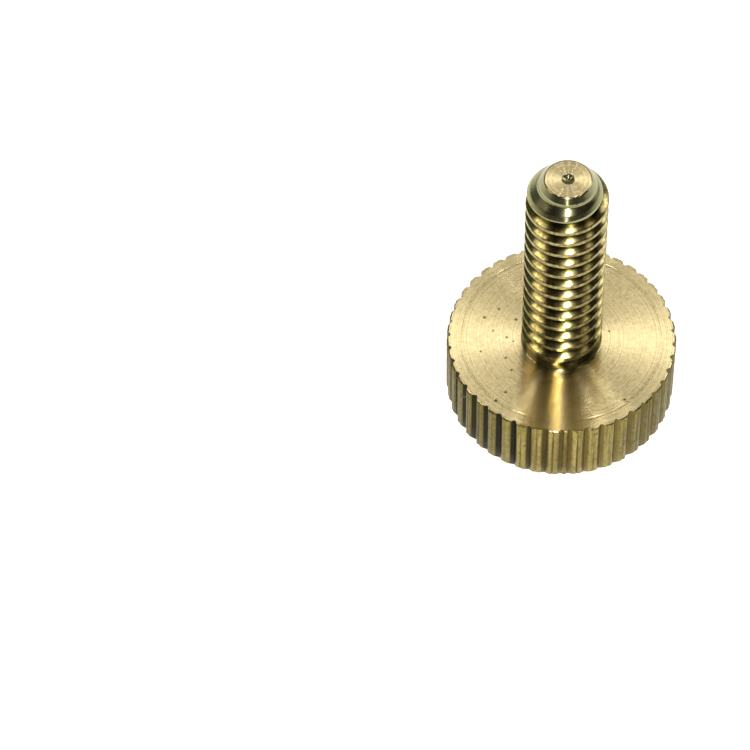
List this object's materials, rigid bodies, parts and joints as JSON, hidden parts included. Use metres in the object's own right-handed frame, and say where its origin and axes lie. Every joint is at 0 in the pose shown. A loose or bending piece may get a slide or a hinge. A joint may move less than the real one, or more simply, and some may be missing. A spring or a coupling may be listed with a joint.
{
  "type": "thumb screw",
  "caption": "Brass thumb screw turned in one piece: thick head with a straight knurl, threaded shank and chamfered end.",
  "frame": {"origin": "centre of the head's outer face, which the screw stands on", "axes": "+Z along the screw's axis, from the head to the end of the shank; X and Y lie in the outer face"},
  "size_m": [0.0138, 0.0138, 0.0211],
  "materials": {
    "turned_brass": "turned and knurled, bare"
  },
  "bodies": {
    "root": {"thumb_screw": "turned_brass"}
  },
  "joints": []
}
